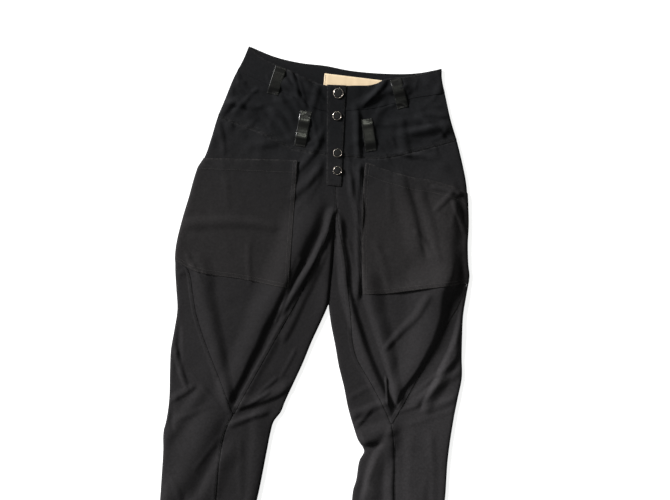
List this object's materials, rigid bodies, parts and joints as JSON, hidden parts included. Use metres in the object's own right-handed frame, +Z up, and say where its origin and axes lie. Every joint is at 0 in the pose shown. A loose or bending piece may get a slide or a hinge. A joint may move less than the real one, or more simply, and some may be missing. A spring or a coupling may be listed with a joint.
{
  "type": "tapered trousers with patch pockets, laid flat",
  "caption": "Black high-rise trousers laid flat, with a buttoned fly, belt loops, large patch pockets and legs that taper from a full thigh through curved knee seams.",
  "frame": {"origin": "under the middle of the garment, on the surface it lies on", "axes": "+Z up from the surface, out of the front of the trousers; +Y along the legs towards the waist; +X towards the wearer's left"},
  "size_m": [0.5825, 1.0659, 0.0227],
  "materials": {
    "cloth": "matt near-black woven cotton with a slight stretch",
    "ribbon": "dark glossy woven ribbon",
    "metal": "worn dark nickel",
    "cap": "black satin enamel",
    "label": "cream woven tape, bare"
  },
  "bodies": {
    "root": {"back_left": "cloth", "back_right": "cloth", "belt_loop_1": "ribbon", "belt_loop_2": "ribbon", "belt_loop_3": "ribbon", "belt_loop_4": "ribbon", "fly_placket": "cloth", "front_thigh_left": "cloth", "front_thigh_right": "cloth", "inner_leg_left": "cloth", "inner_leg_right": "cloth", "label": "label", "outer_leg_left": "cloth", "outer_leg_right": "cloth", "pocket_left": "cloth", "pocket_right": "cloth", "snap_core_1": "cap", "snap_core_2": "cap", "snap_core_3": "cap", "snap_core_4": "cap", "snap_ring_1": "metal", "snap_ring_2": "metal", "snap_ring_3": "metal", "snap_ring_4": "metal", "waistband_back": "cloth", "waistband_front_left": "cloth", "waistband_front_right": "cloth", "yoke_left": "cloth", "yoke_right": "cloth"}
  },
  "joints": []
}
